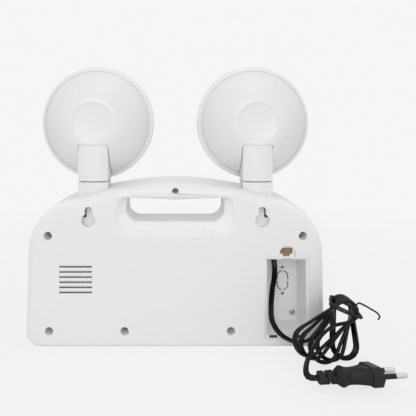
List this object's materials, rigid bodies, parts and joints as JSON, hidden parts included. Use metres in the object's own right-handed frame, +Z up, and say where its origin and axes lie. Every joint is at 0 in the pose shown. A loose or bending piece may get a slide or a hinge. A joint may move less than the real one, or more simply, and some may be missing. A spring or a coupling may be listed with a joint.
{
  "type": "twin-spot emergency light",
  "caption": "White battery-backed emergency light with two round swivelling lamp heads, arched carrying handle, keyholes, open cable compartment and a tied mains cord.",
  "frame": {"origin": "middle of the housing's footprint, on the surface that it stands on, without the cord, its tie and its plug", "axes": "+X to the right as seen from behind, +Y the way the lamps shine, +Z up"},
  "size_m": [0.3011, 0.1443, 0.2507],
  "materials": {
    "white_abs": "satin moulded white plastic",
    "bezel_white": "bright white plastic ring",
    "screw_steel": "zinc-plated steel",
    "clip_zinc": "plated steel",
    "clear_lens": "clear plastic lens",
    "mirror_film": "metallised plastic",
    "lamp_board": "white circuit board",
    "battery_case": "dark battery case",
    "brown_board": "brown phenolic circuit board",
    "board_chips": "dark components",
    "led_clear": "clear indicator lamps",
    "button_grey": "grey push button",
    "cord_black": "black PVC, slight sheen",
    "tie_black": "black coated wire",
    "plug_black": "dark moulded plug, satin",
    "pin_nickel": "nickel-plated pins"
  },
  "bodies": {
    "housing": {"rear_cover": "white_abs", "front_shell": "white_abs", "cover_screws": "screw_steel", "bay_screw": "screw_steel", "swivel_collars": "white_abs", "battery": "battery_case", "battery_strap": "clip_zinc", "main_board": "brown_board", "board_parts": "board_chips", "status_leds": "led_clear", "cord_gland": "white_abs", "cord_lead": "cord_black", "cord_hank": "cord_black", "cord_tail": "cord_black", "cord_tie": "tie_black", "plug_body": "plug_black", "plug_sleeves": "plug_black", "plug_pins": "pin_nickel"},
    "neck_left": {"neck_left": "white_abs", "neck_clip_left": "clip_zinc", "tilt_pin_left": "clip_zinc"},
    "neck_right": {"neck_right": "white_abs", "neck_clip_right": "clip_zinc", "tilt_pin_right": "clip_zinc"},
    "head_left": {"bowl_left": "white_abs", "bezel_left": "bezel_white", "lens_left": "clear_lens", "reflector_left": "mirror_film", "led_board_left": "lamp_board"},
    "head_right": {"bowl_right": "white_abs", "bezel_right": "bezel_white", "lens_right": "clear_lens", "reflector_right": "mirror_film", "led_board_right": "lamp_board"},
    "button": {"test_button": "button_grey"}
  },
  "joints": [
    {"name": "pan_left", "type": "hinge", "parent": "housing", "child": "neck_left", "pos_m": [-0.075, -0.007, 0.14], "axis": [0, 0, 1], "range_deg": [-90, 90]},
    {"name": "tilt_left", "type": "hinge", "parent": "neck_left", "child": "head_left", "pos_m": [-0.075, -0.008, 0.1702], "axis": [1, 0, 0], "range_deg": [-3, 40]},
    {"name": "pan_right", "type": "hinge", "parent": "housing", "child": "neck_right", "pos_m": [0.075, -0.007, 0.14], "axis": [0, 0, 1], "range_deg": [-90, 90]},
    {"name": "tilt_right", "type": "hinge", "parent": "neck_right", "child": "head_right", "pos_m": [0.075, -0.008, 0.1702], "axis": [1, 0, 0], "range_deg": [-3, 40]},
    {"name": "test_press", "type": "slide", "parent": "housing", "child": "button", "axis": [0, -1, 0], "range_m": [0, 0.0018], "stiffness_N_per_m": 900, "springref_m": -0.0004}
  ]
}
